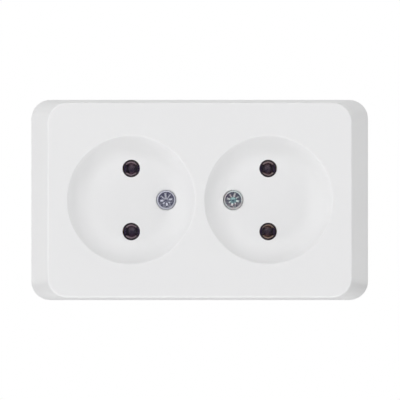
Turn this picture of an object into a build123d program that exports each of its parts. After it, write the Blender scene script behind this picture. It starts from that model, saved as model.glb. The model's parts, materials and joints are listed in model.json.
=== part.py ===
from build123d import *
import os
from math import cos, radians, sin, sqrt

# Double surface-mounted socket without earth contacts, millimetres.
# It is drawn lying on its back: x to the right, y up the wall, z out of the wall.
# The wall is the plane z = 0, and the finished solids are then stood up against it.

# Plug that the socket takes
PIN_SPACING = 19.0
PIN_LENGTH = 19.0
PIN_TIP_CLEARANCE = 2.0

# Round wells in the front
WELL_RIM_D = 38.4
WELL_FLOOR_D = 20.8
WELL_DEPTH = 6.5
WELL_WALL = 2.2
WELL_RIM_ROUND = 0.5
WELL_WEB = 2.9
PIN_HOLE_D = 5.3

# Cover outline round the wells
SIDE_MARGIN = 5.95
TOP_MARGIN = 10.15
SIDE_SLOPE = 5.7
TOP_SLOPE = 1.25
WALL_CORNER_R = 5.8
FRONT_CORNER_R = 6.0
FRONT_EDGE_ROUND = 0.6
SHELL_WALL = 2.0
FRONT_WALL = 2.2
RIM_LIFT = 0.2
CABLE_GATE_W = 12.0
CABLE_GATE_H = 10.0
CABLE_GATE_SKIN = 0.8
COVER_RIB_T = 1.5
COVER_RIB_REACH = 2.0
COVER_RIB_SPACING = 30.0

# Cover screws, their pillars in the cover and posts on the base
COVER_SCREW_OFFSET = 10.55
COVER_SCREW_D = 3.0
COVER_SCREW_HEAD_D = 5.8
COVER_SCREW_HEAD_H = 2.0
HEAD_RECESS = 1.2
HEAD_EDGE = 0.5
PILLAR_D = 7.0
PILLAR_LENGTH = 10.3
POST_D = 8.0
THREAD_ENGAGEMENT = 4.7
INSERT_D = 4.6
INSERT_LENGTH = 7.0
CROSS_RECESS_L = 3.6
CROSS_RECESS_W = 0.9
CROSS_RECESS_DEPTH = 1.2

# Base tray
BASE_THICKNESS = 3.0
BASE_RIM_H = 4.0
BASE_RIM_WALL = 1.5
BED_H = 2.0
BED_LIP = 0.6
PARTITION_WALL = 1.6
CHAMBER_WALL = 1.5
CHAMBER_CORNER_R = 1.0
CHAMBER_MOUTH = 4.0
CHAMBER_GAP = 0.5
SLOT_W = 4.4
SLOT_L = 8.0
SLOT_FROM_SIDE = 14.5
SLOT_PAD_H = 1.0
SLOT_PAD_WALL = 2.0
CABLE_ENTRY_W = 20.0
CABLE_ENTRY_H = 9.5
CABLE_ENTRY_R = 2.0
CABLE_ENTRY_FROM_BED = 1.15
BACK_RECESS = 1.0
BACK_RECESS_R = 1.5

# Bus bars and the pegs that stake them to the base
BAR_W = 7.0
BAR_T = 0.8
BAR_END = 3.5
BAR_CORNER = 1.0
PEG_D = 3.0
PEG_HEAD_D = 4.5
PEG_HEAD_H = 0.8

# Contact clips, backing springs and rivets
CLIP_T = 0.5
CLIP_W = 5.0
CLIP_BEND_R = 0.5
CLIP_ARM_H = 3.3
NECK_H = 3.0
PINCH_R = 1.65
MOUTH_R = 2.25
MOUTH_H = 0.7
THROAT_R = 1.85
THROAT_H = 0.35
CUP_HALF_ANGLE = 60.0
MOUTH_GAP = 0.5
SPRING_T = 0.4
SPRING_W = 4.0
SPRING_BELOW_MOUTH = 5.8
SPRING_TIP_H = 2.0
SPRING_TIP_FLARE = 0.5
SPRING_ROOM = 0.8
RIVET_D = 2.5
RIVET_HEAD_D = 3.5
RIVET_HEAD_H = 0.8

# Terminals
TERMINAL_SPACING = 14.0
TERMINAL_SCREW_D = 3.5
TERMINAL_SCREW_BELOW = 2.4
TERMINAL_HEAD_D = 6.5
TERMINAL_HEAD_H = 2.2
TERMINAL_SLOT_W = 0.9
TERMINAL_SLOT_DEPTH = 1.1
COLLAR_D = 5.2
COLLAR_H = 1.4
CLAMP_SIZE = 8.0
CLAMP_T = 1.0
CLAMP_LIP = 1.2
CLAMP_BEND_R = 0.4

# Clearances between pieces
BASE_CLEARANCE = 0.3
BAR_CLEARANCE = 0.3
SCREW_CLEARANCE = 0.2
HEAD_CLEARANCE = 0.15
THREAD_CLEARANCE = 0.05
CONTACT_CLEARANCE = 0.05
CUT_MARGIN = 0.5

# Heights off the wall, from the base up to the front face
BED_Z = BASE_THICKNESS + BED_H
BAR_TOP = BED_Z + BAR_T
CLIP_Z = BAR_TOP + SPRING_T
CLIP_TOP = CLIP_Z + CLIP_T
ARM_TOP = CLIP_TOP + CLIP_ARM_H
PIN_TIP_Z = CLIP_TOP + RIVET_HEAD_H + PIN_TIP_CLEARANCE
FLOOR_Z = PIN_TIP_Z + PIN_LENGTH
FLOOR_BACK_Z = FLOOR_Z - WELL_WALL
BODY_DEPTH = FLOOR_Z + WELL_DEPTH
FRONT_BACK_Z = BODY_DEPTH - FRONT_WALL
HEAD_SEAT_Z = FLOOR_Z - HEAD_RECESS
POST_TOP = FLOOR_BACK_Z - PILLAR_LENGTH
CHAMBER_TOP = FLOOR_BACK_Z - CHAMBER_GAP
MOUTH_Z = FLOOR_BACK_Z - MOUTH_GAP
BASE_RIM_TOP = BASE_THICKNESS + BASE_RIM_H
CLAMP_Z = BAR_TOP + CLAMP_LIP
COLLAR_Z = BED_Z - COLLAR_H
TERMINAL_TIP_Z = BED_Z - TERMINAL_SCREW_BELOW

# Places along the wall
SOCKET_SPACING = WELL_RIM_D + WELL_WEB
SOCKET_X = SOCKET_SPACING / 2
PIN_Y = PIN_SPACING / 2
COVER_SCREW_X = SOCKET_X - COVER_SCREW_OFFSET
TERMINAL_X = TERMINAL_SPACING / 2
FRONT_W = SOCKET_SPACING + WELL_RIM_D + 2 * SIDE_MARGIN
FRONT_H = WELL_RIM_D + 2 * TOP_MARGIN
BODY_W = FRONT_W + 2 * SIDE_SLOPE
BODY_H = FRONT_H + 2 * TOP_SLOPE
SLOT_X = BODY_W / 2 - SLOT_FROM_SIDE
WELL_FLOOR_R = WELL_FLOOR_D / 2
WELL_RUN = WELL_RIM_D / 2 - WELL_FLOOR_R
WELL_ARC_R = (WELL_RUN**2 + WELL_DEPTH**2) / (2 * WELL_DEPTH)
CLIP_ARM_Y = RIVET_HEAD_D / 2 + CONTACT_CLEARANCE + CLIP_BEND_R
SPRING_ARM_Y = CLIP_ARM_Y + CLIP_T + CONTACT_CLEARANCE
POCKET_HALF = SPRING_ARM_Y + SPRING_T + SPRING_ROOM
CHAMBER_HALF = POCKET_HALF + CHAMBER_WALL
BAR_END_X = SOCKET_X + BAR_END
POCKET_END_X = BAR_END_X + BAR_CLEARANCE
CHAMBER_END_X = POCKET_END_X + CHAMBER_WALL
GROOVE_HALF = BAR_W / 2 + BAR_CLEARANCE
CABLE_ENTRY_Y = PIN_Y + CHAMBER_HALF + CABLE_ENTRY_FROM_BED + CABLE_ENTRY_H / 2

SOCKETS = {"left": -1, "right": 1}
POLES = {"upper": 1, "lower": -1}
BARS = {"line": 1, "neutral": -1}
STAND_UP = Rot(X=90)


def outline(z, inset=0.0):
    """Rounded rectangle of the drafted body at height z, drawn in by inset all round."""
    share = z / BODY_DEPTH
    width = BODY_W + (FRONT_W - BODY_W) * share - 2 * inset
    height = BODY_H + (FRONT_H - BODY_H) * share - 2 * inset
    corner = WALL_CORNER_R + (FRONT_CORNER_R - WALL_CORNER_R) * share - inset
    return Pos(Z=z) * RectangleRounded(width, height, corner)


def drafted(low, high, inset=0.0):
    """Solid between two heights that follows the drafted sides of the body."""
    return loft([outline(low, inset), outline(high, inset)], ruled=True)


def disc(diameter, low, high):
    """Upright cylinder on the z axis between two heights."""
    return extrude(Pos(Z=low) * Circle(diameter / 2), high - low)


def prism(sketch, low, high):
    """Sketch drawn on the wall plane, raised into a solid between two heights."""
    return extrude(Pos(Z=low) * sketch, high - low)


def mirrored(shape):
    """The shape with its copies on the other side of both middle planes."""
    pair = shape + mirror(shape, about=Plane.YZ)
    return pair + mirror(pair, about=Plane.XZ)


def at_cover_screws(shape):
    """Copies of the shape, one on each cover screw's axis."""
    return [Pos(X=side * COVER_SCREW_X) * shape for side in SOCKETS.values()]


def at_contacts(shape):
    """Copies of the shape, one on each pin's axis."""
    return [Pos(x * SOCKET_X, y * PIN_Y) * shape for x in SOCKETS.values() for y in POLES.values()]


def at_terminals(shape):
    """Copies of the shape, one on each terminal screw's axis."""
    return [Pos(x * TERMINAL_X, y * PIN_Y) * shape for x in SOCKETS.values() for y in BARS.values()]


def dish(top, grow=0.0):
    """Round bowl of a well, grown outwards by grow and closed flat at height top."""
    floor = FLOOR_Z - grow
    below_centre = FLOOR_Z + WELL_ARC_R - top
    reach = WELL_FLOOR_R + sqrt((WELL_ARC_R + grow) ** 2 - below_centre**2)
    flat = Line((0, floor), (WELL_FLOOR_R, floor))
    side = TangentArc((WELL_FLOOR_R, floor), (reach, top), tangent=(1, 0))
    lid = Line((reach, top), (0, top))
    axis = Line((0, top), (0, floor))
    return revolve(Plane.XZ * make_face([flat, side, lid, axis]), Axis.Z)


def cable_gate():
    """Round-headed tunnel along y at the wall, where a surface cable comes in above or below."""
    straight = CABLE_GATE_H - CABLE_GATE_W / 2
    head = Pos(0, straight) * Circle(CABLE_GATE_W / 2)
    leg = Pos(0, straight / 2) * Rectangle(CABLE_GATE_W, straight)
    return extrude(Plane.XZ * (head + leg), BODY_H, both=True)


def cover_ribs():
    """Four ribs inside the cover's left and right walls, which stand on the rim of the base."""
    ring = drafted(BASE_RIM_TOP, FRONT_BACK_Z, SHELL_WALL / 2)
    ring -= drafted(BASE_RIM_TOP, FRONT_BACK_Z, SHELL_WALL + COVER_RIB_REACH)
    band = Rectangle(BODY_W, COVER_RIB_T)
    bands = [Pos(Y=pole * COVER_RIB_SPACING / 2) * band for pole in POLES.values()]
    return ring & prism(Sketch() + bands, BASE_RIM_TOP, FRONT_BACK_Z)


def make_cover():
    """One-piece front shell with two wells, screw pillars, ribs and thin cable gates."""
    cover = drafted(RIM_LIFT, BODY_DEPTH)
    cover = fillet(cover.faces().sort_by(Axis.Z)[-1].edges(), FRONT_EDGE_ROUND)
    cover -= drafted(0, FRONT_BACK_Z, SHELL_WALL)
    cover -= drafted(0, CABLE_GATE_H, CABLE_GATE_SKIN) & cable_gate()
    cover += cover_ribs()
    wells = [Pos(X=side * SOCKET_X) for side in SOCKETS.values()]
    cover += [well * dish(BODY_DEPTH - FRONT_WALL / 2, WELL_WALL) for well in wells]
    cover += at_cover_screws(disc(PILLAR_D, POST_TOP, FLOOR_Z))
    cover -= [well * dish(BODY_DEPTH + CUT_MARGIN) for well in wells]
    front = cover.faces().sort_by(Axis.Z)[-1]
    cover = fillet([edge for rim in front.inner_wires() for edge in rim.edges()], WELL_RIM_ROUND)
    cover -= at_contacts(disc(PIN_HOLE_D, FLOOR_BACK_Z - CUT_MARGIN, BODY_DEPTH))
    cover -= at_cover_screws(disc(COVER_SCREW_D + 2 * SCREW_CLEARANCE, 0, BODY_DEPTH))
    cover -= at_cover_screws(disc(COVER_SCREW_HEAD_D + 2 * HEAD_CLEARANCE, HEAD_SEAT_Z, BODY_DEPTH))
    return cover


def make_tray():
    """Floor and rim of the base, open where the cable gates and the rear cable entries are."""
    inset = SHELL_WALL + BASE_CLEARANCE
    tray = drafted(0, BASE_RIM_TOP, inset)
    tray -= drafted(BASE_THICKNESS, BASE_RIM_TOP, inset + BASE_RIM_WALL)
    tray -= prism(Rectangle(CABLE_GATE_W, BODY_H), BASE_THICKNESS, BASE_RIM_TOP)
    slot_pad = SlotOverall(SLOT_L + 2 * SLOT_PAD_WALL, SLOT_W + 2 * SLOT_PAD_WALL)
    for side in SOCKETS.values():
        tray += prism(Pos(side * SLOT_X) * slot_pad, 0, BASE_THICKNESS + SLOT_PAD_H)
        tray -= prism(Pos(side * SLOT_X) * SlotOverall(SLOT_L, SLOT_W), 0, BASE_RIM_TOP)
    entry = RectangleRounded(CABLE_ENTRY_W, CABLE_ENTRY_H, CABLE_ENTRY_R)
    for pole in POLES.values():
        tray -= prism(Pos(0, pole * CABLE_ENTRY_Y) * entry, 0, BASE_THICKNESS)
    return tray


def make_chamber():
    """Three-sided wall round the right upper contact, open towards its terminals."""
    start = SOCKET_X - CHAMBER_MOUTH
    length = CHAMBER_END_X - start
    wall = Pos(start + length / 2, PIN_Y) * Rectangle(length, 2 * CHAMBER_HALF)
    wall = fillet(wall.vertices().group_by(Axis.X)[-1], CHAMBER_CORNER_R)
    pocket = Pos(POCKET_END_X / 2, PIN_Y) * Rectangle(POCKET_END_X, 2 * POCKET_HALF)
    return prism(wall - pocket, BASE_THICKNESS, CHAMBER_TOP)


def make_bed():
    """Raised bed under the upper bus bar, with the bar's groove and the staked peg in its middle."""
    bed = Rectangle(2 * CHAMBER_END_X, 2 * CHAMBER_HALF)
    bed = fillet(bed.vertices(), CHAMBER_CORNER_R)
    groove = Rectangle(2 * POCKET_END_X, 2 * GROOVE_HALF)
    bed = prism(bed, BASE_THICKNESS, BED_Z + BED_LIP) - prism(groove, BED_Z, BED_Z + BED_LIP)
    bed += disc(PEG_D, BED_Z, BAR_TOP) + disc(PEG_HEAD_D, BAR_TOP, BAR_TOP + PEG_HEAD_H)
    return Pos(Y=PIN_Y) * bed


def make_base_rib():
    """Low rib from the right upper chamber to the rim of the tray."""
    rim_x = BODY_W / 2 - SHELL_WALL - BASE_CLEARANCE - BASE_RIM_WALL
    length = rim_x - POCKET_END_X
    rib = Pos(POCKET_END_X + length / 2, PIN_Y) * Rectangle(length, CHAMBER_WALL)
    return prism(rib, BASE_THICKNESS, BASE_RIM_TOP)


def make_base():
    """Tray with the beds, contact chambers, screw posts and the partition between the poles."""
    base = make_tray() + mirrored(make_bed() + make_chamber() + make_base_rib())
    base += at_cover_screws(disc(POST_D, BASE_THICKNESS, POST_TOP))
    base += prism(Rectangle(2 * COVER_SCREW_X, PARTITION_WALL), BASE_THICKNESS, POST_TOP)
    base -= at_cover_screws(disc(INSERT_D, POST_TOP - INSERT_LENGTH, POST_TOP))
    recess = RectangleRounded(2 * POCKET_END_X, 2 * POCKET_HALF, BACK_RECESS_R)
    for pole in POLES.values():
        base -= prism(Pos(0, pole * PIN_Y) * recess, 0, BACK_RECESS)
    collar_room = disc(COLLAR_D + 2 * BAR_CLEARANCE, TERMINAL_TIP_Z - BAR_CLEARANCE, BED_Z)
    base -= at_terminals(collar_room)
    rivet_room = disc(RIVET_HEAD_D + 2 * BAR_CLEARANCE, BED_Z - RIVET_HEAD_H - BAR_CLEARANCE, BED_Z)
    base -= at_contacts(rivet_room)
    return base


def make_bar():
    """Brass bus bar of one pole, with threaded collars pressed out below for its two terminals."""
    strip = chamfer(Rectangle(2 * BAR_END_X, BAR_W).vertices(), BAR_CORNER)
    bar = prism(strip, BED_Z, BAR_TOP)
    bar -= disc(PEG_D + 2 * BAR_CLEARANCE, BED_Z, BAR_TOP)
    for side in SOCKETS.values():
        terminal = Pos(X=side * TERMINAL_X)
        bar += terminal * disc(COLLAR_D, COLLAR_Z, BED_Z)
        bar -= terminal * disc(TERMINAL_SCREW_D + 2 * THREAD_CLEARANCE, COLLAR_Z, BAR_TOP)
        bar -= Pos(X=side * SOCKET_X) * disc(RIVET_D + 2 * CONTACT_CLEARANCE, BED_Z, BAR_TOP)
    return bar


def trough(half, bend_radius, thickness, width):
    """Strip folded into a trough; half holds the inner side's points in y and z, from a tip to the floor."""
    fold = FilletPolyline(*half, *[(-y, z) for y, z in half[::-1]], radius=bend_radius)
    edge = fold.offset_2d(thickness, side=Side.LEFT, closed=True)
    return extrude(Plane.YZ * Face(edge), width / 2, both=True)


def cup_section(z, radius):
    """Section of a cupped leaf: part of a ring round the pin's axis, on the +y side."""
    across = sin(radians(CUP_HALF_ANGLE))
    along = cos(radians(CUP_HALF_ANGLE))
    outer = radius + CLIP_T
    left_out, right_out = (-outer * across, outer * along), (outer * across, outer * along)
    left_in, right_in = (-radius * across, radius * along), (radius * across, radius * along)
    back = ThreePointArc(left_out, (0, outer), right_out)
    front = ThreePointArc(right_in, (0, radius), left_in)
    sides = Line(right_out, right_in), Line(left_in, left_out)
    return Pos(Z=z) * make_face([back, sides[0], front, sides[1]])


def flat_section(z):
    """Section of the leaf where it is still the flat arm of the clip."""
    return Pos(0, CLIP_ARM_Y + CLIP_T / 2, z) * Rectangle(CLIP_W, CLIP_T)


def make_clip():
    """Bronze clip: a folded strip whose two leaves are cupped round the pin, with a short flared lip."""
    clip = trough([(CLIP_ARM_Y, ARM_TOP), (CLIP_ARM_Y, CLIP_TOP)], CLIP_BEND_R, CLIP_T, CLIP_W)
    sections = [
        flat_section(ARM_TOP),
        cup_section(ARM_TOP + NECK_H, PINCH_R),
        cup_section(MOUTH_Z - MOUTH_H, PINCH_R),
        cup_section(MOUTH_Z - MOUTH_H + THROAT_H, THROAT_R),
        cup_section(MOUTH_Z, MOUTH_R),
    ]
    leaf = loft(sections, ruled=True)
    clip += leaf + mirror(leaf, about=Plane.XZ)
    return clip - disc(RIVET_D + 2 * CONTACT_CLEARANCE, CLIP_Z, CLIP_TOP)


def make_spring():
    """Steel backing spring: a folded strip under the clip that presses its leaves together."""
    touch_y = PINCH_R + CLIP_T + CONTACT_CLEARANCE
    touch_z = MOUTH_Z - SPRING_BELOW_MOUTH
    tip = (touch_y + SPRING_TIP_FLARE, touch_z + SPRING_TIP_H)
    half = [tip, (touch_y, touch_z), (SPRING_ARM_Y, ARM_TOP), (SPRING_ARM_Y, CLIP_Z)]
    spring = trough(half, CLIP_BEND_R, SPRING_T, SPRING_W)
    return spring - disc(RIVET_D + 2 * CONTACT_CLEARANCE, BAR_TOP, CLIP_Z)


def make_rivet():
    """Rivet through the clip, its spring and the bus bar, with a head at each end."""
    shank = disc(RIVET_D, BED_Z, CLIP_TOP)
    heads = disc(RIVET_HEAD_D, BED_Z - RIVET_HEAD_H, BED_Z)
    heads += disc(RIVET_HEAD_D, CLIP_TOP, CLIP_TOP + RIVET_HEAD_H)
    return shank + heads


def make_clamp():
    """Saddle plate of a terminal, with its two sides turned down beside the wires."""
    lip_y = CLAMP_SIZE / 2 - CLAMP_T
    clamp = trough([(-lip_y, BAR_TOP), (-lip_y, CLAMP_Z)], CLAMP_BEND_R, CLAMP_T, CLAMP_SIZE)
    return Rot(Z=90) * clamp - disc(TERMINAL_SCREW_D + 2 * SCREW_CLEARANCE, CLAMP_Z, CLAMP_Z + CLAMP_T)


def make_terminal_screw():
    """Slotted pan-head screw of a terminal."""
    seat = CLAMP_Z + CLAMP_T
    top = seat + TERMINAL_HEAD_H
    head = disc(TERMINAL_HEAD_D, seat, top)
    head = chamfer(head.edges().sort_by(Axis.Z)[-1], HEAD_EDGE)
    head -= prism(Rectangle(TERMINAL_HEAD_D, TERMINAL_SLOT_W), top - TERMINAL_SLOT_DEPTH, top)
    return head + disc(TERMINAL_SCREW_D, TERMINAL_TIP_Z, seat)


def make_cover_screw():
    """Pan-head cover screw with a cross recess."""
    top = HEAD_SEAT_Z + COVER_SCREW_HEAD_H
    head = disc(COVER_SCREW_HEAD_D, HEAD_SEAT_Z, top)
    head = fillet(head.edges().sort_by(Axis.Z)[-1], HEAD_EDGE)
    cross = Rectangle(CROSS_RECESS_L, CROSS_RECESS_W) + Rectangle(CROSS_RECESS_W, CROSS_RECESS_L)
    head -= prism(cross, top - CROSS_RECESS_DEPTH, top)
    return head + disc(COVER_SCREW_D, POST_TOP - THREAD_ENGAGEMENT, HEAD_SEAT_Z)


def make_insert():
    """Threaded brass insert in the top of a post."""
    low = POST_TOP - INSERT_LENGTH
    sleeve = disc(INSERT_D, low, POST_TOP)
    return sleeve - disc(COVER_SCREW_D + 2 * THREAD_CLEARANCE, low, POST_TOP)


def make_nodes():
    """Every piece of the socket by name; like fasteners share one name."""
    nodes = {"cover": make_cover(), "base": make_base()}
    for name, pole in BARS.items():
        nodes[f"{name}_bus_bar"] = Pos(Y=pole * PIN_Y) * make_bar()
    clip, spring, clamp = make_clip(), make_spring(), make_clamp()
    for socket, side in SOCKETS.items():
        for place, pole in POLES.items():
            contact = Pos(side * SOCKET_X, pole * PIN_Y)
            nodes[f"contact_clip_{socket}_{place}"] = contact * clip
            nodes[f"contact_spring_{socket}_{place}"] = contact * spring
            terminal = Pos(side * TERMINAL_X, pole * PIN_Y)
            nodes[f"terminal_clamp_{socket}_{place}"] = terminal * clamp
    nodes["contact_rivets"] = Compound(at_contacts(make_rivet()))
    nodes["terminal_screws"] = Compound(at_terminals(make_terminal_screw()))
    nodes["cover_screws"] = Compound(at_cover_screws(make_cover_screw()))
    nodes["screw_inserts"] = Compound(at_cover_screws(make_insert()))
    return nodes


os.makedirs("parts", exist_ok=True)
for node_name, piece in make_nodes().items():
    export_step(STAND_UP * piece, f"parts/{node_name}.step")
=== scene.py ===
"""Double surface-mounted socket: finishes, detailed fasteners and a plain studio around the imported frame.

Every length is in metres. A fastener is modelled upright on the z axis, with z pointing out of the wall,
and is then stood up against the wall, so that its head faces -y.
"""
import json
import logging
import math
from dataclasses import dataclass, replace
from enum import Enum
from typing import Callable

import bmesh
import bpy
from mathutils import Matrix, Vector


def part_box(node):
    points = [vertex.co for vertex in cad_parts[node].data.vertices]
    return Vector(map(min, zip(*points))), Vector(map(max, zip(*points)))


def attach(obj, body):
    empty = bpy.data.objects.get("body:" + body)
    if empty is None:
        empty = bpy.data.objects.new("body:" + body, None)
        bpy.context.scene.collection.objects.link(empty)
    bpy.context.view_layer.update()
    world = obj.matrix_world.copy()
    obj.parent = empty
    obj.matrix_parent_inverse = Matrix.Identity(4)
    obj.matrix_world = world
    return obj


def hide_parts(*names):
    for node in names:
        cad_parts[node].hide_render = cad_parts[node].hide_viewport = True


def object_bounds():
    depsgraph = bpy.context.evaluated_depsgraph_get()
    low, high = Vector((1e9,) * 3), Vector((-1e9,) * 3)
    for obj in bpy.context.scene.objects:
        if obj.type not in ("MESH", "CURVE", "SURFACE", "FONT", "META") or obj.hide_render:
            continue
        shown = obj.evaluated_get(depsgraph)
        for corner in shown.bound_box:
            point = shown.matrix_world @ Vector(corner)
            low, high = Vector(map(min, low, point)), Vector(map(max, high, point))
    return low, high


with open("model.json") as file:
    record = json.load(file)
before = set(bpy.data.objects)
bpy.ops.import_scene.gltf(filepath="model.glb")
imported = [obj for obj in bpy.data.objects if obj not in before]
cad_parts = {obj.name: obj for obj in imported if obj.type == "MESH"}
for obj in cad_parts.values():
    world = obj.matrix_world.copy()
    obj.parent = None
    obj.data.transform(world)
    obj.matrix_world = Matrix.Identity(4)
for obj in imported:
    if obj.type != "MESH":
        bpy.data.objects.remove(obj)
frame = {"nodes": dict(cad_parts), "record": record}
CAD_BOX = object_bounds()
PIN_AXIS = sum(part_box("contact_clip_right_upper"), Vector()) / 2
SCREW_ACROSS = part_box("cover_screws")[1].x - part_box("cover_screws")[1].z

MM = 0.001
BODY = "root"
FULL_TURN = 2 * math.pi
QUARTER_TURN = math.radians(90)
MERGE_DISTANCE = 1e-6
CUT_TOLERANCE = 1e-8
ARC_STEPS = 8
DISC_STEPS = 64
EDGE_SEGMENTS = 2
PLASTIC_IOR = 1.49
TARNISH_ROUGHNESS = 0.12
WHITE = (1.0, 1.0, 1.0, 1.0)
LOG = logging.getLogger("socket")

# Share of a normal along z from which a face counts as facing up or down
FACING = 0.5
# Sockets of the Mix node when it mixes colours
MIX_SHARE, MIX_COLOURS, MIX_RESULT = 0, (6, 7), 2

Colour = tuple[float, float, float]
Point = tuple[float, float]
Spot = tuple[float, float, float]
Place = tuple[str, float, float, float]
Socket = bpy.types.NodeSocket
Material = bpy.types.Material
Piece = bpy.types.Object

SIDES = {"left": -1, "right": 1}
POLES = {"upper": 1, "lower": -1}
FOUR_CORNERS = [(side, pole, x, z) for side, x in SIDES.items() for pole, z in POLES.items()]


class Slot(Enum):
    """Material slots of the record."""

    COVER = "cover_white"
    BASE = "base_white"
    BRASS = "bar_brass"
    BRONZE = "clip_bronze"
    SPRING = "spring_steel"
    ZINC = "plated_steel"


class Drive(Enum):
    """How a screw head is driven."""

    CROSS = "cross recess with four ticks"
    SLOT = "straight slot"


class Part(Enum):
    """What is selected in edit mode."""

    CORNER = "VERT"
    FACE = "FACE"


class Work(Enum):
    """What a tool does to a piece."""

    CUT = "DIFFERENCE"
    ADD = "UNION"


class NodeSheet:
    """A node tree with short calls to add nodes, set sockets and link them."""

    def __init__(self, tree: bpy.types.NodeTree) -> None:
        """Takes over an existing node tree."""
        self.tree = tree

    def add(self, kind: str, **sockets: object) -> bpy.types.Node:
        """Adds one node and sets or links its inputs.

        Args:
            kind: Blender's node type.
            sockets: Input names with underscores for spaces; a value is set, and an output socket is linked.

        Returns:
            The new node.
        """
        node = self.tree.nodes.new(kind)
        for name, value in sockets.items():
            self.feed(node.inputs[name.replace("_", " ")], value)
        return node

    def feed(self, socket: Socket, value: object) -> None:
        """Sets an input socket, or links it if the value is an output socket.

        Args:
            socket: The input socket.
            value: A plain value or an output socket.
        """
        if isinstance(value, Socket):
            self.tree.links.new(value, socket)
        else:
            socket.default_value = value

    def math(self, operation: str, first: object, second: object = 0.0) -> Socket:
        """Adds a Math node.

        Args:
            operation: Blender's operation.
            first: A number or an output socket.
            second: A number or an output socket, for an operation on two values.

        Returns:
            The result's output socket.
        """
        node = self.tree.nodes.new("ShaderNodeMath")
        node.operation = operation
        for socket, value in zip(node.inputs, (first, second)):
            self.feed(socket, value)
        return node.outputs["Value"]

    def between(self, share: Socket, low: float, high: float) -> Socket:
        """Maps a share from 0 to 1 onto a range of values."""
        node = self.add("ShaderNodeMapRange", Value=share, To_Min=low, To_Max=high)
        return node.outputs["Result"]

    def ramp(self, value: Socket, start: object, end: object) -> Socket:
        """How far a value has come from start to end, as a share from 0 to 1."""
        node = self.add("ShaderNodeMapRange", Value=value, From_Min=start, From_Max=end)
        return node.outputs["Result"]

    def blend(self, share: Socket, first: object, second: object) -> Socket:
        """Mixes two colours by a share from 0 to 1.

        Args:
            share: The output socket with the share of the second colour.
            first: A colour or an output socket.
            second: A colour or an output socket.

        Returns:
            The mixed colour's output socket.
        """
        node = self.tree.nodes.new("ShaderNodeMix")
        node.data_type = "RGBA"
        self.feed(node.inputs[MIX_SHARE], share)
        for number, value in zip(MIX_COLOURS, (first, second)):
            self.feed(node.inputs[number], value if isinstance(value, Socket) else (*value, 1.0))
        return node.outputs[MIX_RESULT]

    def mix(self, share: Socket, first: Socket, second: Socket) -> Socket:
        """Mixes two shaders by a share from 0 to 1.

        Args:
            share: The output socket with the share of the second shader.
            first: The first shader's output socket.
            second: The second shader's output socket.

        Returns:
            The mixed shader's output socket.
        """
        node = self.add("ShaderNodeMixShader", Fac=share)
        for socket, shader in zip(node.inputs[1:], (first, second)):
            self.feed(socket, shader)
        return node.outputs["Shader"]

    def off_axis(self, place: Socket, across: float, up: float) -> tuple[Socket, Socket]:
        """How far a point lies from the nearest of the mirrored axes that stand on the wall.

        Args:
            place: The object coordinates.
            across: How far the axes lie to the left and right of the middle.
            up: How far they lie above and below it.

        Returns:
            The whole distance, and its part up or down the wall.
        """
        axes = self.add("ShaderNodeSeparateXYZ", Vector=place).outputs
        squares = []
        for axis, middle in (("X", across), ("Z", up)):
            distance = self.math("SUBTRACT", self.math("ABSOLUTE", axes[axis]), middle)
            squares.append(self.math("MULTIPLY", distance, distance))
        return self.math("SQRT", self.math("ADD", *squares)), self.math("SQRT", squares[1])

    def noise(self, vector: Socket, scale: object, detail: float) -> Socket:
        """Adds a noise texture and returns its value."""
        node = self.add("ShaderNodeTexNoise", Vector=vector, Scale=scale, Detail=detail)
        return node.outputs["Fac"]

    def seen_rays(self) -> Socket:
        """A mask of the rays that show a backdrop: the camera's own, mirrored ones and those through glass.

        Returns:
            The mask's output socket.
        """
        path = self.add("ShaderNodeLightPath").outputs
        seen = self.math("MAXIMUM", path["Is Camera Ray"], path["Is Glossy Ray"])
        return self.math("MAXIMUM", seen, path["Is Transmission Ray"])


class EffectGroup:
    """A shared surface effect as a node group with named inputs and outputs."""

    name: str = ""
    inputs: dict[str, float] = {}
    outputs: tuple[str, ...] = ()

    def build(self) -> bpy.types.NodeTree:
        """Makes the group once and gives it back on later calls.

        Returns:
            The node group.
        """
        found = bpy.data.node_groups.get(self.name)
        if found:
            return found
        tree = bpy.data.node_groups.new(self.name, "ShaderNodeTree")
        tree.interface.new_socket("Vector", in_out="INPUT", socket_type="NodeSocketVector")
        for name, value in self.inputs.items():
            socket = tree.interface.new_socket(name, in_out="INPUT", socket_type="NodeSocketFloat")
            socket.default_value = value
        for name in self.outputs:
            tree.interface.new_socket(name, in_out="OUTPUT", socket_type="NodeSocketFloat")
        sheet = NodeSheet(tree)
        source = tree.nodes.new("NodeGroupInput")
        results = self.wire(sheet, source.outputs)
        sheet.add("NodeGroupOutput", **{name: results[name] for name in self.outputs})
        return tree

    def wire(self, sheet: NodeSheet, given: bpy.types.NodeOutputs) -> dict[str, Socket]:
        """Adds the nodes between the group's inputs and outputs.

        Args:
            sheet: The group's nodes.
            given: The group's inputs.

        Returns:
            The group's outputs by name.
        """
        raise NotImplementedError

    def place(self, sheet: NodeSheet, vector: Socket, **values: float) -> bpy.types.NodeOutputs:
        """Puts the group into a material.

        Args:
            sheet: The material's nodes.
            vector: The coordinates that the pattern follows.
            values: The group's own inputs.

        Returns:
            The group node's outputs.
        """
        node = sheet.tree.nodes.new("ShaderNodeGroup")
        node.node_tree = self.build()
        sheet.feed(node.inputs["Vector"], vector)
        for name, value in values.items():
            sheet.feed(node.inputs[name], value)
        return node.outputs


class MouldedSkin(EffectGroup):
    """Skin of a moulding: a fine tool grain and a faint cloudiness."""

    name = "moulded skin"
    inputs = {"Grain": 2000.0, "Cloud": 60.0}
    outputs = ("Height", "Tone")
    grain_detail = 3.0
    cloud_detail = 2.0

    def wire(self, sheet: NodeSheet, given: bpy.types.NodeOutputs) -> dict[str, Socket]:
        """Two noises at the two scales."""
        return {
            "Height": sheet.noise(given["Vector"], given["Grain"], self.grain_detail),
            "Tone": sheet.noise(given["Vector"], given["Cloud"], self.cloud_detail),
        }


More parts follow.
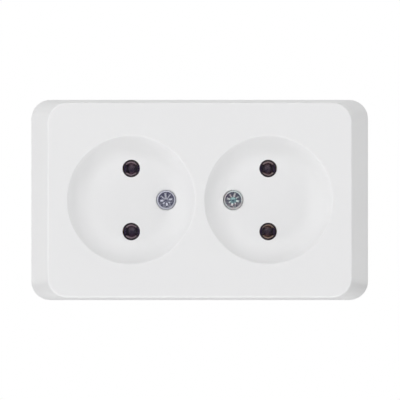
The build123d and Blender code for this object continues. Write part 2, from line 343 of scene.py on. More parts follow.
class RolledStreaks(EffectGroup):
    """Fine streaks along x that rolling leaves on strip metal."""

    name = "rolled streaks"
    inputs = {"Streak": 4000.0, "Stretch": 0.04}
    outputs = ("Height", "Tone")
    detail = 2.0
    broad_share = 0.15

    def wire(self, sheet: NodeSheet, given: bpy.types.NodeOutputs) -> dict[str, Socket]:
        """Noise that is drawn out along x.

        Args:
            sheet: The group's nodes.
            given: The group's inputs.

        Returns:
            The fine streaks' height and the broad streaks' tone.
        """
        scale = sheet.add("ShaderNodeCombineXYZ", X=given["Stretch"], Y=1.0, Z=1.0)
        stretch = sheet.tree.nodes.new("ShaderNodeVectorMath")
        stretch.operation = "MULTIPLY"
        for socket, value in zip(stretch.inputs, (given["Vector"], scale.outputs["Vector"])):
            sheet.feed(socket, value)
        drawn = stretch.outputs["Vector"]
        broad = sheet.math("MULTIPLY", given["Streak"], self.broad_share)
        return {
            "Height": sheet.noise(drawn, given["Streak"], self.detail),
            "Tone": sheet.noise(drawn, broad, self.detail),
        }


class Patina(EffectGroup):
    """Soft-edged patches of tarnish or tint."""

    name = "patina"
    inputs = {"Patch": 300.0, "Cover": 0.5, "Softness": 0.15}
    outputs = ("Mask",)
    detail = 4.0

    def wire(self, sheet: NodeSheet, given: bpy.types.NodeOutputs) -> dict[str, Socket]:
        """Noise with its middle cut out by the cover and softness values.

        Args:
            sheet: The group's nodes.
            given: The group's inputs.

        Returns:
            The patches' mask.
        """
        cloud = sheet.noise(given["Vector"], given["Patch"], self.detail)
        level = sheet.math("SUBTRACT", 1.0, given["Cover"])
        start = sheet.math("SUBTRACT", level, given["Softness"])
        end = sheet.math("ADD", level, given["Softness"])
        return {"Mask": sheet.ramp(cloud, start, end)}


class Finish:
    """Common part of the finishes: an empty material, object coordinates, a bump and a shader."""

    def build(self) -> Material:
        """Makes the material."""
        raise NotImplementedError

    def blank(self, name: str) -> tuple[Material, NodeSheet]:
        """Makes an empty node material.

        Args:
            name: The material's name.

        Returns:
            The material and its nodes.
        """
        material = bpy.data.materials.new(name)
        material.use_nodes = True
        material.node_tree.nodes.clear()
        return material, NodeSheet(material.node_tree)

    def begin(self, name: str) -> tuple[Material, NodeSheet, Socket]:
        """Makes a material that follows the piece's own coordinates.

        Args:
            name: The material's name.

        Returns:
            The material, its nodes and its object coordinates.
        """
        material, sheet = self.blank(name)
        return material, sheet, sheet.add("ShaderNodeTexCoord").outputs["Object"]

    def end(self, sheet: NodeSheet, height: Socket, relief: float, **sockets: object) -> None:
        """Adds the bump, the shader and the output.

        Args:
            sheet: The material's nodes.
            height: The relief's height from 0 to 1.
            relief: The relief's depth.
            sockets: Inputs of the shader.
        """
        bump = sheet.add("ShaderNodeBump", Height=height, Distance=relief, Strength=1.0)
        shader = sheet.add("ShaderNodeBsdfPrincipled", Normal=bump.outputs["Normal"], **sockets)
        sheet.add("ShaderNodeOutputMaterial", Surface=shader.outputs["BSDF"])


@dataclass(frozen=True)
class MouldedPlastic(Finish):
    """Thermoset or thermoplastic moulding with a faint cloudiness and tool grain."""

    name: str
    light: Colour
    shade: Colour
    gloss: tuple[float, float]
    grain: float
    cloud: float
    relief: float

    def build(self) -> Material:
        """Makes the material.

        Returns:
            The plastic.
        """
        material, sheet, place = self.begin(self.name)
        skin = MouldedSkin().place(sheet, place, Grain=self.grain, Cloud=self.cloud)
        self.end(
            sheet,
            skin["Height"],
            self.relief,
            Base_Color=sheet.blend(skin["Tone"], self.shade, self.light),
            Roughness=sheet.between(skin["Tone"], *self.gloss),
            IOR=PLASTIC_IOR,
        )
        return material


@dataclass(frozen=True)
class StripMetal(Finish):
    """Rolled strip: streaks along its length and patches of tarnish."""

    name: str
    bright: Colour
    worn: Colour
    tarnish: Colour
    gloss: tuple[float, float]
    streak: float
    patch: float
    cover: float
    relief: float

    def build(self) -> Material:
        """Makes the material.

        Returns:
            The strip metal.
        """
        material, sheet, place = self.begin(self.name)
        rolled = RolledStreaks().place(sheet, place, Streak=self.streak)
        patina = Patina().place(sheet, place, Patch=self.patch, Cover=self.cover)
        dull = sheet.between(patina["Mask"], 0.0, TARNISH_ROUGHNESS)
        self.end(
            sheet,
            rolled["Height"],
            self.relief,
            Base_Color=sheet.blend(patina["Mask"], self.clean(sheet, place, rolled["Tone"]), self.tarnish),
            Roughness=sheet.math("ADD", self.rough(sheet, place, rolled["Tone"]), dull),
            Metallic=1.0,
        )
        return material

    def clean(self, sheet: NodeSheet, place: Socket, tone: Socket) -> Socket:
        """The strip's colour where it isn't tarnished."""
        return sheet.blend(tone, self.worn, self.bright)

    def rough(self, sheet: NodeSheet, place: Socket, tone: Socket) -> Socket:
        """The strip's roughness where it isn't tarnished."""
        return sheet.between(tone, *self.gloss)


@dataclass(frozen=True)
class ContactBronze(StripMetal):
    """Bronze strip that is bare at its web and near-black at its lips as painted shade, with painted
    highlights as bright crescents above and below the plug pins.
    """

    bare: Colour
    shine: float
    shaded_lip_depths: tuple[float, float]
    # Rosy and golden colour the painted highlights: bright crescents above and below the pins.
    rosy_highlight: Colour
    golden_highlight: Colour
    drift: tuple[float, float]
    pin_across: float
    pin_up: float
    reach: float
    flank: float
    fade: float

    def web(self, sheet: NodeSheet, place: Socket) -> Socket:
        """A mask of the bare web, deep behind the lips that carry painted shade."""
        depth = sheet.add("ShaderNodeSeparateXYZ", Vector=place).outputs["Y"]
        return sheet.ramp(depth, *self.shaded_lip_depths)

    def rough(self, sheet: NodeSheet, place: Socket, tone: Socket) -> Socket:
        """The strip's roughness, less at the bare web."""
        shine = sheet.between(self.web(sheet, place), 0.0, self.shine)
        return sheet.math("SUBTRACT", super().rough(sheet, place, tone), shine)

    def clean(self, sheet: NodeSheet, place: Socket, tone: Socket) -> Socket:
        """The strip's colour: painted shade on the near-black lips, the bare web, and painted highlights as
        bright crescents above and below the pins.

        Args:
            sheet: The material's nodes.
            place: The object coordinates.
            tone: The streaks' share of the bright colour.

        Returns:
            The colour's output socket.
        """
        axes = sheet.add("ShaderNodeSeparateXYZ", Vector=place).outputs
        radius, rise = sheet.off_axis(place, self.pin_across, self.pin_up)
        # Painted highlight: bright crescents near the pin axes, above and below them.
        ring = sheet.ramp(radius, self.reach + self.fade, self.reach)
        middle = sheet.ramp(rise, self.flank - self.fade, self.flank)
        gilt = sheet.ramp(sheet.math("SUBTRACT", axes["X"], axes["Z"]), *self.drift)
        painted_crescents = sheet.blend(gilt, self.rosy_highlight, self.golden_highlight)
        # Painted shade: the lips keep the strip's near-black colours, and only the deep web is bare.
        strip = sheet.blend(self.web(sheet, place), super().clean(sheet, place, tone), self.bare)
        return sheet.blend(sheet.math("MULTIPLY", ring, middle), strip, painted_crescents)


@dataclass(frozen=True)
class ZincPlate(Finish):
    """Bright zinc plating whose tint drifts from blue at the left to teal and rose at the right, with a
    painted highlight as a bright cyan spot in the middle of the right cover screw.
    """

    name: str
    blue: Colour
    teal: Colour
    rose: Colour
    # Colour of the painted highlight in the middle of the right cover screw
    centre_highlight: Colour
    highlight_across: float
    highlight_reach: tuple[float, float]
    gloss: tuple[float, float]
    bloom: float
    cloud: float
    drift: float
    patch: float
    cover: float
    relief: float

    def build(self) -> Material:
        """Makes the material.

        Returns:
            The plating.
        """
        material, sheet, place = self.begin(self.name)
        skin = MouldedSkin().place(sheet, place, Grain=self.bloom, Cloud=self.cloud)
        across = sheet.add("ShaderNodeSeparateXYZ", Vector=place).outputs["X"]
        right = sheet.ramp(across, -self.drift, self.drift)
        # Painted highlight: a bright cyan spot round the cover screws' axes, which shows on the right screw.
        radius, _ = sheet.off_axis(place, self.highlight_across, 0.0)
        centre_highlight = sheet.ramp(radius, *self.highlight_reach)
        film = sheet.blend(right, self.blue, sheet.blend(centre_highlight, self.teal, self.centre_highlight))
        patches = Patina().place(sheet, place, Patch=self.patch, Cover=self.cover)
        outside = sheet.math("MAXIMUM", sheet.math("SUBTRACT", patches["Mask"], centre_highlight), 0.0)
        self.end(
            sheet,
            skin["Height"],
            self.relief,
            Base_Color=sheet.blend(sheet.math("MULTIPLY", right, outside), film, self.rose),
            Roughness=sheet.between(skin["Tone"], *self.gloss),
            Metallic=1.0,
        )
        return material


@dataclass(frozen=True)
class PaleFloor(Finish):
    """Matt floor that looks nearly white, still takes a shadow and is clear from below."""

    tone: Colour
    glow: float

    def build(self) -> Material:
        """Makes the material.

        Returns:
            The floor's material.
        """
        material, sheet = self.blank("pale_floor")
        matt = sheet.add("ShaderNodeBsdfDiffuse", Color=(*self.tone, 1.0)).outputs["BSDF"]
        white = sheet.add("ShaderNodeEmission", Color=WHITE, Strength=1.0).outputs["Emission"]
        above = sheet.mix(sheet.math("MULTIPLY", sheet.seen_rays(), self.glow), matt, white)
        clear = sheet.add("ShaderNodeBsdfTransparent").outputs["BSDF"]
        below = sheet.add("ShaderNodeNewGeometry").outputs["Backfacing"]
        sheet.add("ShaderNodeOutputMaterial", Surface=sheet.mix(below, above, clear))
        return material


@dataclass(frozen=True)
class DarkCloth(Finish):
    """Unlit cloth of one dark tone."""

    tone: Colour

    def build(self) -> Material:
        """Makes the material.

        Returns:
            The cloth.
        """
        material, sheet = self.blank("dark_cloth")
        glow = sheet.add("ShaderNodeEmission", Color=(*self.tone, 1.0), Strength=1.0)
        sheet.add("ShaderNodeOutputMaterial", Surface=glow.outputs["Emission"])
        return material


FINISHES: dict[Slot, Finish] = {
    Slot.COVER: MouldedPlastic(
        name="cover_white",
        light=(0.862, 0.862, 0.866),
        shade=(0.846, 0.846, 0.852),
        gloss=(0.36, 0.30),
        grain=2500.0,
        cloud=45.0,
        relief=0.002 * MM,
    ),
    Slot.BASE: MouldedPlastic(
        name="base_white",
        light=(0.82, 0.818, 0.80),
        shade=(0.79, 0.787, 0.765),
        gloss=(0.56, 0.48),
        grain=3500.0,
        cloud=80.0,
        relief=0.006 * MM,
    ),
    Slot.BRASS: StripMetal(
        name="bar_brass",
        bright=(0.83, 0.63, 0.28),
        worn=(0.74, 0.53, 0.22),
        tarnish=(0.50, 0.33, 0.15),
        gloss=(0.34, 0.22),
        streak=5000.0,
        patch=260.0,
        cover=0.42,
        relief=0.003 * MM,
    ),
    Slot.BRONZE: ContactBronze(
        name="clip_bronze",
        # Near-black strip colours: painted shade on the clip's lips in the pin holes.
        bright=(0.10, 0.08, 0.09),
        worn=(0.085, 0.066, 0.078),
        tarnish=(0.08, 0.062, 0.08),
        gloss=(0.46, 0.38),
        streak=5000.0,
        patch=420.0,
        cover=0.12,
        relief=0.003 * MM,
        bare=(0.60, 0.48, 0.55),
        shine=0.26,
        shaded_lip_depths=(-20.0 * MM, -12.0 * MM),
        # Painted highlights: the bright crescents above and below the pins.
        rosy_highlight=(0.93, 0.76, 0.84),
        golden_highlight=(1.0, 0.80, 0.68),
        drift=(0.0, 30.0 * MM),
        pin_across=PIN_AXIS.x,
        pin_up=PIN_AXIS.z,
        reach=2.0 * MM,
        flank=1.3 * MM,
        fade=0.15 * MM,
    ),
    Slot.SPRING: StripMetal(
        name="spring_steel",
        bright=(0.52, 0.53, 0.56),
        worn=(0.42, 0.43, 0.47),
        tarnish=(0.24, 0.26, 0.36),
        gloss=(0.38, 0.28),
        streak=6000.0,
        patch=350.0,
        cover=0.5,
        relief=0.002 * MM,
    ),
    Slot.ZINC: ZincPlate(
        name="plated_steel",
        blue=(0.60, 0.61, 0.70),
        teal=(0.57, 0.65, 0.645),
        rose=(0.73, 0.61, 0.635),
        # Painted highlight: a bright cyan spot in the middle of the right cover screw.
        centre_highlight=(0.50, 0.78, 0.77),
        highlight_across=SCREW_ACROSS,
        highlight_reach=(1.3 * MM, 0.65 * MM),
        gloss=(0.28, 0.20),
        bloom=6000.0,
        cloud=1500.0,
        drift=10.0 * MM,
        patch=500.0,
        cover=0.5,
        relief=0.002 * MM,
    ),
}
MATERIALS: dict[Slot, Material] = {slot: finish.build() for slot, finish in FINISHES.items()}


def activate(piece: Piece) -> None:
    """Selects one piece alone and makes it the active one.

    Args:
        piece: The piece.
    """
    bpy.ops.object.select_all(action="DESELECT")
    piece.select_set(True)
    bpy.context.view_layer.objects.active = piece


def select_parts(piece: Piece, part: Part, wanted: Callable[..., bool]) -> None:
    """Selects the corners or faces of a piece in edit mode that pass a test, and no others.

    Args:
        piece: The piece, in edit mode.
        part: Whether corners or faces are selected.
        wanted: The test, which takes one corner or face.
    """
    bpy.ops.mesh.select_mode(type=part.value)
    bpy.ops.mesh.select_all(action="DESELECT")
    shape = bmesh.from_edit_mesh(piece.data)
    for element in shape.verts if part is Part.CORNER else shape.faces:
        element.select_set(wanted(element))
    bmesh.update_edit_mesh(piece.data)


def arc(centre: Point, radius: float, start: float, end: float) -> list[Point]:
    """Points along an arc in the plane of radius and height.

    Args:
        centre: The arc's centre.
        radius: The arc's radius.
        start: The first angle in degrees, from the outward direction.
        end: The last angle in degrees.

    Returns:
        The arc's points, both ends included.
    """
    angles = [math.radians(start + (end - start) * i / ARC_STEPS) for i in range(ARC_STEPS + 1)]
    return [(centre[0] + radius * math.cos(a), centre[1] + radius * math.sin(a)) for a in angles]


def profile(name: str, points: list[Point]) -> Piece:
    """Draws an open line in the plane of x and z, by pulling one corner from point to point.

    Args:
        name: The new object's name.
        points: The line's points, radius first and height second.

    Returns:
        The line's object.
    """
    bpy.ops.object.select_all(action="DESELECT")
    bpy.ops.mesh.primitive_plane_add(size=MM)
    line = bpy.context.object
    line.name = line.data.name = name
    bpy.ops.object.mode_set(mode="EDIT")
    bpy.ops.mesh.select_mode(type=Part.CORNER.value)
    bpy.ops.mesh.merge(type="CENTER")
    last = (0.0, 0.0)
    for number, point in enumerate(points):
        step = (point[0] - last[0], 0.0, point[1] - last[1])
        if number:
            bpy.ops.mesh.extrude_vertices_move(TRANSFORM_OT_translate={"value": step})
        else:
            bpy.ops.transform.translate(value=step)
        last = point
    bpy.ops.object.mode_set(mode="OBJECT")
    return line


def tidy(piece: Piece) -> None:
    """Merges doubled corners of a piece and turns its faces outwards.

    Args:
        piece: The piece.
    """
    activate(piece)
    bpy.ops.object.mode_set(mode="EDIT")
    bpy.ops.mesh.select_all(action="SELECT")
    bpy.ops.mesh.remove_doubles(threshold=MERGE_DISTANCE)
    bpy.ops.mesh.normals_make_consistent(inside=False)
    bpy.ops.object.mode_set(mode="OBJECT")


def turned(name: str, points: list[Point], steps: int) -> Piece:
    """Turns a line round the z axis, as on a lathe.

    Args:
        name: The new piece's name.
        points: The line's points, radius first and height second.
        steps: The number of steps round the axis.

    Returns:
        The turned piece, closed where the line starts and ends on the axis.
    """
    piece = profile(name, points)
    bpy.ops.object.mode_set(mode="EDIT")
    bpy.ops.mesh.select_all(action="SELECT")
    bpy.ops.mesh.spin(steps=steps, angle=FULL_TURN, center=(0, 0, 0), axis=(0, 0, 1))
    bpy.ops.object.mode_set(mode="OBJECT")
    tidy(piece)
    return piece


def combine(piece: Piece, tool: Piece, work: Work) -> None:
    """Joins a tool to a piece or cuts it out of the piece, and removes the tool.

    Args:
        piece: The piece that is kept.
        tool: The shape that is used up.
        work: Whether the tool is added or cut out.
    """
    activate(piece)
    bpy.ops.object.modifier_add(type="BOOLEAN")
    modifier = piece.modifiers[-1]
    modifier.operation = work.value
    modifier.solver = "EXACT"
    modifier.object = tool
    bpy.ops.object.modifier_apply(modifier=modifier.name)
    bpy.data.objects.remove(tool)


def soften(piece: Piece, width: float, angle: float) -> None:
    """Rounds the sharp edges of a piece a little and smooths its shading.

    Args:
        piece: The piece.
        width: The width of the rounding.
        angle: The edge angle in degrees from which an edge counts as sharp.
    """
    activate(piece)
    bpy.ops.object.modifier_add(type="BEVEL")
    modifier = piece.modifiers[-1]
    modifier.width = width
    modifier.segments = EDGE_SEGMENTS
    modifier.limit_method = "ANGLE"
    modifier.angle_limit = math.radians(angle)
    modifier.use_clamp_overlap = True
    bpy.ops.object.modifier_apply(modifier=modifier.name)
    bpy.ops.object.shade_smooth_by_angle(angle=math.radians(angle))


def stand_up(piece: Piece, x: float, z: float, turn: float) -> None:
    """Turns a finished fastener to face -y, moves it to its place and puts that place into its mesh.

    Args:
        piece: The fastener, upright on the z axis.
        x: Where its axis lies across the wall.
        z: Where its axis lies up the wall.
        turn: Its turn about its own axis in degrees.
    """
    activate(piece)
    piece.rotation_euler = (0.0, 0.0, math.radians(turn))
    bpy.ops.object.transform_apply(location=False, rotation=True, scale=False)
    piece.rotation_euler = (QUARTER_TURN, 0.0, 0.0)
    piece.location = (x, 0.0, z)
    bpy.ops.object.transform_apply(location=True, rotation=True, scale=True)


def copied(piece: Piece, name: str) -> Piece:
    """Copies a piece with a mesh of its own.

    Args:
        piece: The piece to copy.
        name: The copy's name.

    Returns:
        The copy.
    """
    copy = piece.copy()
    copy.data = piece.data.copy()
    copy.name = copy.data.name = name
    bpy.context.scene.collection.objects.link(copy)
    return copy


@dataclass
class Thread:
    """A screw thread with flat crests and roots, whose section is given in shares of its pitch."""

    radius: float
    pitch: float
    low: float
    high: float
    depth_share: float = 0.61
    crest_share: float = 0.125
    root_share: float = 0.25
    turns_below: int = 2
    turns_above: int = 1
    steps: int = 32

    def build(self, name: str) -> Piece:
        """Winds one pitch of the thread's section up the axis and trims both ends flat.

        Args:
            name: The thread's name.

        Returns:
            The closed thread.
        """
        root = self.radius - self.depth_share * self.pitch
        start = self.low - self.turns_below * self.pitch
        flat, crest = self.root_share / 2, self.crest_share / 2
        section = [
            (root, 0.0),
            (root, flat),
            (self.radius, 0.5 - crest),
            (self.radius, 0.5 + crest),
            (root, 1.0 - flat),
            (root, 1.0),
        ]
        thread = profile(name, [(r, start + share * self.pitch) for r, share in section])
        activate(thread)
        bpy.ops.object.modifier_add(type="SCREW")
        winding = thread.modifiers[-1]
        winding.axis = "Z"
        winding.screw_offset = self.pitch
        winding.steps = winding.render_steps = self.steps
        turns = math.ceil((self.high - self.low) / self.pitch)
        winding.iterations = turns + self.turns_below + self.turns_above
        bpy.ops.object.modifier_apply(modifier=winding.name)
        tidy(thread)
        bpy.ops.object.mode_set(mode="EDIT")
        for height, outwards in ((self.low, -1.0), (self.high, 1.0)):
            bpy.ops.mesh.select_all(action="SELECT")
            bpy.ops.mesh.bisect(
                plane_co=(0, 0, height),
                plane_no=(0, 0, outwards),
                use_fill=True,
                clear_outer=True,
                threshold=CUT_TOLERANCE,
            )
        bpy.ops.object.mode_set(mode="OBJECT")
        tidy(thread)
        return thread


@dataclass(frozen=True)
class Screw:
    """A pan-head screw with a turned head, a wound thread and a drive; its place is read from the CAD."""

    head_height: float
    head_edge: float
    crown: float
    shank_radius: float
    pitch: float
    thread_length: float
    drive: Drive
    drive_length: float
    drive_width: float
    drive_depth: float
    slot_foot: Point = (1.0, 0.96)
    wing_foot: Point = (0.33, 0.9)
    tick_length: float = 3.3 * MM
    tick_width: float = 0.36 * MM
    tick_depth: float = 0.42 * MM
    tick_foot: Point = (0.4, 0.6)
    well_radius: float = 0.86 * MM
    well_depth: float = 0.7 * MM
    point_radius: float = 0.6 * MM
    point_depth: float = 0.27 * MM
    well_steps: int = 48
    softness: float = 0.03 * MM
    sharp: float = 35.0
    steps: int = 96
    thread_gap: float = 0.02 * MM
    overlap: float = 0.3 * MM
    head_radius: float = 0.0
    tip: float = 0.0
    top: float = 0.0

    @property
    def seat(self) -> float:
        """Height of the head's underside."""
        return self.top - self.head_height

    @property
    def thread_top(self) -> float:
        """Height that the thread reaches."""
        return self.tip + self.thread_length

    def build(self, name: str) -> Piece:
        """Turns and softens the head, cuts the drive and adds the thread.

        Args:
            name: The screw's name.

        Returns:
            The screw, upright on the z axis.
        """
        screw = turned(name, self.head_line(), self.steps)
        soften(screw, self.softness, self.sharp)
        for cutter in self.cross() if self.drive is Drive.CROSS else self.slot():
            combine(screw, cutter, Work.CUT)
        radius, end = self.shank_radius - self.thread_gap, self.thread_top + self.overlap
        thread = Thread(radius, self.pitch, self.tip, end)
        combine(screw, thread.build(f"{name}_thread"), Work.ADD)
        tidy(screw)
        bpy.ops.object.shade_smooth_by_angle(angle=math.radians(self.sharp))
        return screw

    def head_line(self) -> list[Point]:
        """The section of head and shank, from the top of the axis down to the thread.

        Returns:
            The section's points.
        """
        corner = (self.head_radius - self.head_edge, self.top - self.crown - self.head_edge)
        neck = self.shank_radius - self.pitch
        halfway = 0.5
        return [
            (0.0, self.top),
            (corner[0] * halfway, self.top - self.crown * halfway**2),
            *arc(corner, self.head_edge, 90, 0),
            (self.head_radius, self.seat),
            (self.shank_radius, self.seat),
            (self.shank_radius, self.thread_top),
            (neck, self.thread_top),
            (neck, self.thread_top - self.pitch),
            (0.0, self.thread_top - self.pitch),
        ]

    def wedge(self, length: float, width: float, depth: float, foot: Point, turn: float) -> Piece:
        """A tapered bar across the top of the head, to cut a slot or a wing of a recess.

        Args:
            length: The bar's length at the top of the head.
            width: The bar's width at the top of the head.
            depth: How deep the bar reaches.
            foot: The shares of length and width that are left at its foot.
            turn: The bar's direction in degrees.

        Returns:
            The cutter.
        """
        bpy.ops.object.select_all(action="DESELECT")
        bpy.ops.mesh.primitive_cube_add(size=1.0, location=(0, 0, self.top))
        bar = bpy.context.object
        bar.scale = (length, width, 2 * depth)
        bpy.ops.object.transform_apply(location=False, rotation=False, scale=True)
        bpy.ops.object.mode_set(mode="EDIT")
        select_parts(bar, Part.FACE, lambda face: face.normal.z < -FACING)
        bpy.ops.transform.resize(value=(foot[0], foot[1], 1.0))
        select_parts(bar, Part.FACE, lambda face: face.normal.z > FACING)
        bpy.ops.transform.resize(value=(2 - foot[0], 2 - foot[1], 1.0))
        bpy.ops.object.mode_set(mode="OBJECT")
        bar.rotation_euler = (0.0, 0.0, math.radians(turn))
        bpy.ops.object.transform_apply(location=True, rotation=True, scale=False)
        tidy(bar)
        return bar

    def slot(self) -> list[Piece]:
        """Cutter of a straight slot."""
        return [self.wedge(self.drive_length, self.drive_width, self.drive_depth, self.slot_foot, 0)]

    def cross(self) -> list[Piece]:
        """Cutters of a cross recess: two bars and four ticks with sloping ends, and a drilled middle.

        Returns:
            The cutters.
        """
        wing = (self.drive_length, self.drive_width, self.drive_depth, self.wing_foot)
        tick = (self.tick_length, self.tick_width, self.tick_depth, self.tick_foot)
        bars = [self.wedge(*bar, turn) for bar, turn in ((wing, 0), (wing, 90), (tick, 45), (tick, 135))]
        mouth, floor = self.top + self.head_edge, self.top - self.well_depth
        well = [
            (0.0, mouth),
            (self.well_radius, mouth),
            (self.well_radius, floor),
            (self.point_radius, floor),
            (0.0, floor - self.point_depth),
        ]
        return [*bars, turned("drive_well", well, self.well_steps)]


class Fasteners:
    """Common part of the fastener sets: placing, dressing and naming copies of one model."""

    node: str
    slot: Slot

    def finish(self) -> Material:
        """The material of the set, which is its slot's own unless a set says otherwise."""
        return MATERIALS[self.slot]

    def set_out(self, model: Piece, places: list[Place]) -> None:
        """Copies one model to every place, dresses each copy and hides the plain solids.

        Args:
            model: The fastener, upright on the z axis; it becomes the first copy.
            places: Name, place across, place up and turn of each copy.
        """
        material = self.finish()
        copies = [model] + [copied(model, name) for name, _, _, _ in places[1:]]
        for piece, (name, x, z, turn) in zip(copies, places):
            piece.name = piece.data.name = name
            stand_up(piece, x, z, turn)
            piece.data.materials.clear()
            piece.data.materials.append(material)
            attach(piece, BODY)
            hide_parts(self.node)
            LOG.info("%s: %d faces", name, len(piece.data.polygons))


@dataclass
class CoverScrews(Fasteners):
    """The two cover screws, which show in the wells."""

    node: str = "cover_screws"
    slot: Slot = Slot.ZINC
    screw: Screw = Screw(
        head_height=2.0 * MM,
        head_edge=0.55 * MM,
        crown=0.04 * MM,
        shank_radius=1.5 * MM,
        pitch=0.5 * MM,
        thread_length=8.0 * MM,
        drive=Drive.CROSS,
        drive_length=3.6 * MM,
        drive_width=0.55 * MM,
        drive_depth=0.62 * MM,
    )
    turns: tuple[float, float] = (8.0, -14.0)

    def build(self) -> None:
        """Models one screw and sets out both."""
        low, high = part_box(self.node)
        radius = (high.z - low.z) / 2
        screw = replace(self.screw, head_radius=radius, tip=-high.y, top=-low.y)
        across = high.x - radius
        places = [
            (f"cover_screw_{side}", x * across, 0.0, turn)
            for (side, x), turn in zip(SIDES.items(), self.turns)
        ]
        self.set_out(screw.build("cover_screw"), places)


@dataclass
class TerminalScrews(Fasteners):
    """The four slotted terminal screws on the bus bars."""

    node: str = "terminal_screws"
    slot: Slot = Slot.ZINC
    screw: Screw = Screw(
        head_radius=3.25 * MM,
        head_height=2.2 * MM,
        head_edge=0.5 * MM,
        crown=0.15 * MM,
        shank_radius=1.75 * MM,
        pitch=0.6 * MM,
        thread_length=4.8 * MM,
        drive=Drive.SLOT,
        drive_length=7.15 * MM,
        drive_width=0.9 * MM,
        drive_depth=1.1 * MM,
    )
    turns: tuple[float, ...] = (25.0, -40.0, 70.0, 5.0)

    def build(self) -> None:
        """Models one screw and sets out all four."""
        low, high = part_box(self.node)
        screw = replace(self.screw, tip=-high.y, top=-low.y)
        across, up = high.x - screw.head_radius, high.z - screw.head_radius
        places = [
            (f"terminal_screw_{side}_{pole}", x * across, z * up, turn)
            for (side, pole, x, z), turn in zip(FOUR_CORNERS, self.turns)
        ]
        self.set_out(screw.build("terminal_screw"), places)


@dataclass
class ContactRivets(Fasteners):
    """The four rivets that hold clip and spring to the bus bars; they show deep in the pin holes."""

    node: str = "contact_rivets"
    slot: Slot = Slot.ZINC
    head: float = 3.5 * MM
    head_height: float = 0.8 * MM
    shank: float = 2.5 * MM
    brim: float = 0.2 * MM
    rounding: float = 0.15 * MM
    softness: float = 0.04 * MM
    sharp: float = 35.0
    steps: int = 64
    # Painted shade: the rivet heads sit deep in the pin holes, so their plating is darkened.
    shaded_tint: Colour = (0.48, 0.43, 0.46)

    def finish(self) -> Material:
        """The slot's plating, darkened all over as painted shade deep in the pin holes."""
        tints = {tint: self.shaded_tint for tint in ("blue", "teal", "rose")}
        return replace(FINISHES[self.slot], name="shaded_plating", **tints).build()

    def build(self) -> None:
        """Turns one rivet and sets out all four."""
        low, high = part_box(self.node)
        radius, shank = self.head / 2, self.shank / 2
        foot, top = -high.y, -low.y
        line = [
            (0.0, top),
            *arc((radius - self.rounding, top - self.rounding), self.rounding, 90, 0),
            (radius, top - self.head_height),
            (shank, top - self.head_height),
            (shank, foot + self.head_height),
            (radius, foot + self.head_height),
            (radius, foot + self.brim),
            (radius - self.brim, foot),
            (0.0, foot),
        ]
        rivet = turned("contact_rivet", line, self.steps)
        soften(rivet, self.softness, self.sharp)
        across, up = high.x - radius, high.z - radius
        places = [
            (f"contact_rivet_{side}_{pole}", x * across, z * up, 0.0) for side, pole, x, z in FOUR_CORNERS
        ]
        self.set_out(rivet, places)


@dataclass
class ScrewInserts(Fasteners):
    """The two knurled inserts in the base's posts, which take the cover screws."""

    node: str = "screw_inserts"
    slot: Slot = Slot.BRASS
    bore: float = 3.1 * MM
    lead_in: float = 0.3 * MM
    groove_depth: float = 0.3 * MM
    groove_width: float = 1.2 * MM
    knurl_depth: float = 0.15 * MM
    softness: float = 0.03 * MM
    sharp: float = 30.0
    steps: int = 72

    def build(self) -> None:
        """Turns one sleeve, knurls it and sets out both."""
        low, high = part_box(self.node)
        radius, bore = (high.z - low.z) / 2, self.bore / 2
        foot, top = -high.y, -low.y
        middle, half = (foot + top) / 2, self.groove_width / 2
        waist = radius - self.groove_depth
        line = [
            (bore + self.lead_in, top),
            (radius - self.lead_in, top),
            (radius, top - self.lead_in),
            (radius, middle + half + self.groove_depth),
            (waist, middle + half),
            (waist, middle - half),
            (radius, middle - half - self.groove_depth),
            (radius, foot + self.lead_in),
            (radius - self.lead_in, foot),
            (bore + self.lead_in, foot),
            (bore, foot + self.lead_in),
            (bore, top - self.lead_in),
            (bore + self.lead_in, top),
        ]
        insert = turned("screw_insert", line, self.steps)
        self.knurl(insert, radius)
        soften(insert, self.softness, self.sharp)
        across = high.x - radius
        self.set_out(insert, [(f"screw_insert_{side}", x * across, 0.0, 0.0) for side, x in SIDES.items()])

    def knurl(self, insert: Piece, radius: float) -> None:
        """Presses every second corner of the outer bands inwards.

        Args:
            insert: The turned sleeve.
            radius: The sleeve's outer radius.
        """
        step = FULL_TURN / self.steps

        def valley(corner: bmesh.types.BMVert) -> bool:
            """Whether a corner lies on an outer band and on an odd step round the axis."""
            place = round(math.atan2(corner.co.y, corner.co.x) / step)
            return math.hypot(corner.co.x, corner.co.y) > radius - MERGE_DISTANCE and place % 2 == 1

        activate(insert)
        bpy.ops.object.mode_set(mode="EDIT")
        select_parts(insert, Part.CORNER, valley)
        inwards = 1 - self.knurl_depth / radius
        bpy.ops.transform.resize(value=(inwards, inwards, 1.0), center_override=(0, 0, 0))
        bpy.ops.object.mode_set(mode="OBJECT")


@dataclass(frozen=True)
class SoftBox:
    """A soft rectangular lamp that is aimed at the socket's front."""

    name: str
    place: Spot
    width: float
    height: float
    power: float

    def build(self, target: Vector) -> None:
        """Hangs the lamp and aims it.

        Args:
            target: The point that the lamp looks at.
        """
        data = bpy.data.lights.new(self.name, "AREA")
        data.shape = "RECTANGLE"
        data.size, data.size_y = self.width, self.height
        data.energy = self.power
        lamp = bpy.data.objects.new(self.name, data)
        lamp.location = self.place
        lamp.rotation_euler = (target - Vector(self.place)).to_track_quat("-Z", "Y").to_euler()
        lamp.visible_camera = lamp.visible_glossy = False
        bpy.context.scene.collection.objects.link(lamp)


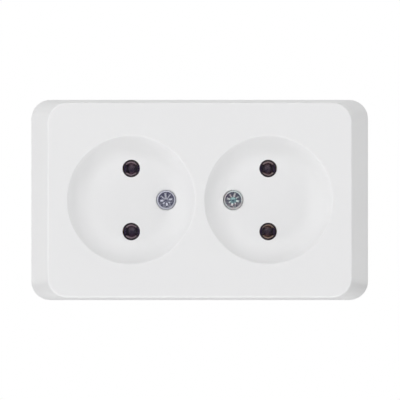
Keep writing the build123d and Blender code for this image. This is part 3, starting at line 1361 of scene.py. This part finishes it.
@dataclass
class Studio:
    """Camera, pale floor, soft lamps, a white surround and a dark curtain behind the camera."""

    camera_distance: float = 2.069
    camera_aside: float = 0.09 * MM
    lens: float = 609.0
    sensor: float = 36.0
    floor_radius: float = 3.0
    floor_drop: float = 0.2
    floor_tone: Colour = (0.9, 0.9, 0.9)
    floor_glow: float = 0.35
    surround: float = 0.15
    curtain_distance: float = 2.45
    curtain_radius: float = 1.1
    curtain_tone: Colour = (0.05, 0.047, 0.10)
    lamps: tuple[SoftBox, ...] = (
        SoftBox("key_left", (-0.90, -1.15, 0.05), 0.70, 0.50, 6.70),
        SoftBox("front_right", (0.70, -1.50, 0.10), 0.50, 0.50, 4.40),
        SoftBox("graze_above", (0.0, -0.05, 0.30), 0.30, 0.10, 0.145),
        SoftBox("graze_below", (0.0, -0.05, -0.20), 0.30, 0.06, 0.148),
        SoftBox("above", (0.0, -0.45, 0.40), 0.40, 0.10, 0.700),
        SoftBox("wing_left", (-0.50, -0.10, 0.0), 0.20, 0.30, 0.571),
        SoftBox("wing_right", (0.60, -0.30, 0.0), 0.20, 0.30, 0.711),
        SoftBox("behind", (0.0, 0.60, 0.0), 0.20, 0.14, 1.15),
    )

    def build(self) -> None:
        """Sets the whole stage."""
        self.place_camera()
        self.lay_floor()
        self.hang_curtain()
        self.light_surround()
        front = Vector((0.0, CAD_BOX[0].y, 0.0))
        for lamp in self.lamps:
            lamp.build(front)
        bpy.context.scene.view_settings.view_transform = "Standard"

    def place_camera(self) -> None:
        """Puts a long lens straight in front of the socket."""
        data = bpy.data.cameras.new("camera")
        data.lens = self.lens
        data.sensor_width = self.sensor
        camera = bpy.data.objects.new("camera", data)
        camera.location = (self.camera_aside, -self.camera_distance, 0.0)
        camera.rotation_euler = (QUARTER_TURN, 0.0, 0.0)
        bpy.context.scene.collection.objects.link(camera)
        bpy.context.scene.camera = camera

    def lay_floor(self) -> None:
        """Lays a pale floor below the socket."""
        place = (0.0, 0.0, CAD_BOX[0].z - self.floor_drop)
        finish = PaleFloor(self.floor_tone, self.floor_glow)
        floor = self.disc("floor", self.floor_radius, place, 0.0, finish)

    def hang_curtain(self) -> None:
        """Hangs a dark curtain behind the camera, which only polished surfaces show."""
        place = (0.0, -self.curtain_distance, 0.0)
        finish = DarkCloth(self.curtain_tone)
        curtain = self.disc("curtain", self.curtain_radius, place, QUARTER_TURN, finish)
        curtain.visible_camera = curtain.visible_diffuse = curtain.visible_transmission = False
        curtain.visible_shadow = curtain.visible_volume_scatter = False

    def disc(self, name: str, radius: float, place: Spot, tilt: float, finish: Finish) -> Piece:
        """Adds a flat round piece of the stage.

        Args:
            name: The piece's name.
            radius: Its radius.
            place: Where its middle lies.
            tilt: How far it is tipped up about the x axis, in radians.
            finish: What it is made of.

        Returns:
            The piece.
        """
        bpy.ops.object.select_all(action="DESELECT")
        bpy.ops.mesh.primitive_circle_add(
            vertices=DISC_STEPS, radius=radius, fill_type="NGON", location=place, rotation=(tilt, 0, 0)
        )
        disc = bpy.context.object
        disc.name = name
        disc.data.materials.append(finish.build())
        return disc

    def light_surround(self) -> None:
        """Lights the socket evenly from all sides and shows white behind it."""
        world = bpy.data.worlds.new("surround")
        bpy.context.scene.world = world
        world.use_nodes = True
        world.node_tree.nodes.clear()
        sheet = NodeSheet(world.node_tree)
        lamp = sheet.add("ShaderNodeBackground", Color=WHITE, Strength=self.surround)
        white = sheet.add("ShaderNodeBackground", Color=WHITE, Strength=1.0)
        both = sheet.mix(sheet.seen_rays(), lamp.outputs["Background"], white.outputs["Background"])
        sheet.add("ShaderNodeOutputWorld", Surface=both)


def dress_nodes() -> None:
    """Gives every CAD node the finish of its material slot."""
    slots = {part["node"]: Slot(part["material_slot"]) for part in frame["record"]["subparts"]}
    for name, node in frame["nodes"].items():
        node.data.materials.clear()
        node.data.materials.append(MATERIALS[slots[name]])
        LOG.info("%s dressed in %s", name, slots[name].value)


def main() -> None:
    """Builds the socket's fasteners, dresses its pieces and sets the stage."""
    logging.basicConfig(level=logging.INFO, format="%(name)s: %(message)s")
    dress_nodes()
    CoverScrews().build()
    TerminalScrews().build()
    ContactRivets().build()
    ScrewInserts().build()
    Studio().build()


if __name__ == "__main__":
    main()
